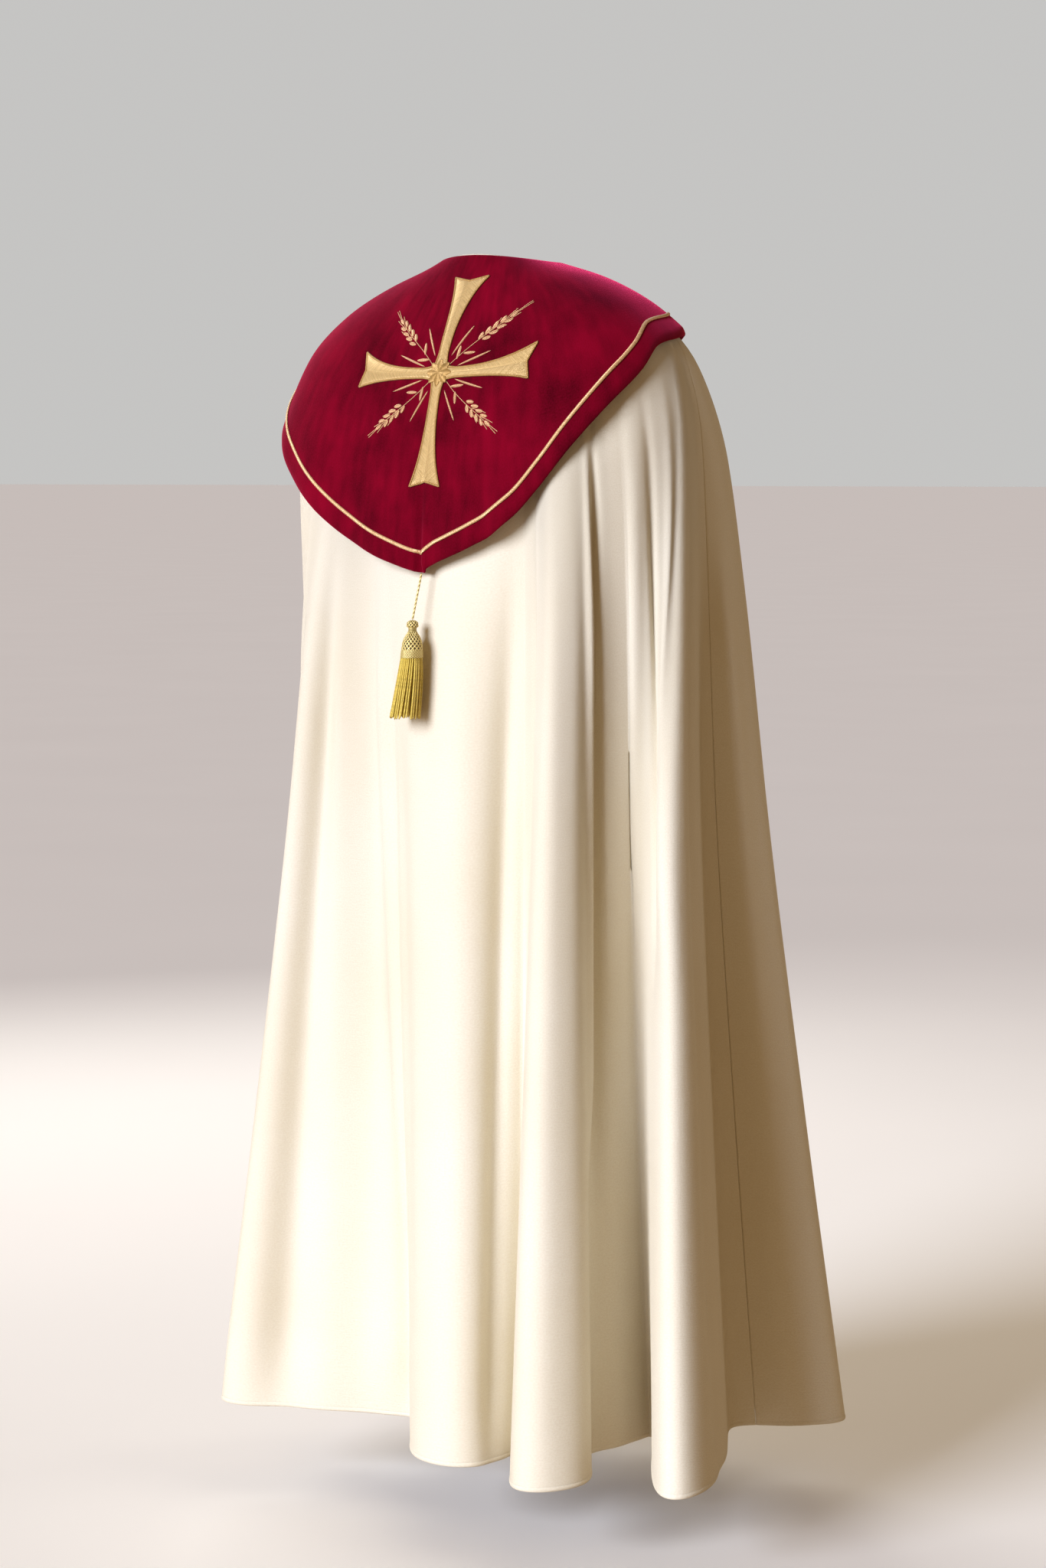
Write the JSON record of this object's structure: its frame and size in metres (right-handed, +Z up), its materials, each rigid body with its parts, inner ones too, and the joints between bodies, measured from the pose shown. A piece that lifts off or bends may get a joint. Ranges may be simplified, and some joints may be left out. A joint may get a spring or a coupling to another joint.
{
  "type": "cope vestment",
  "caption": "Worn floor-length cope: a full cape of cut panels in deep hanging folds with an open front, a shield hood with braid and applied cross, and a tassel.",
  "frame": {"origin": "middle of the neck opening at the height where the shoulders carry the garment", "axes": "+Z up, +Y to the wearer's back where the hood lies, +X to the wearer's left, open front at -Y"},
  "size_m": [0.7416, 0.5997, 1.4846],
  "materials": {
    "cope_cloth": "ivory wool and silk cloth with a fine weave and a soft satin sheen",
    "hood_velvet": "crimson pile velvet, dark face on and lighter at its turned edges",
    "gold_braid": "narrow woven gold thread braid with a dull metallic shine",
    "gold_embroidery": "raised gold thread satin stitch",
    "gold_cord": "twisted gold thread cord and bullion"
  },
  "bodies": {
    "root": {"cope_back": "cope_cloth", "cope_front_left": "cope_cloth", "cope_front_right": "cope_cloth", "chest_tab": "cope_cloth", "hood": "hood_velvet", "hood_braid": "gold_braid", "hood_cross": "gold_embroidery", "tassel_cord": "gold_cord", "tassel": "gold_cord"}
  },
  "joints": []
}
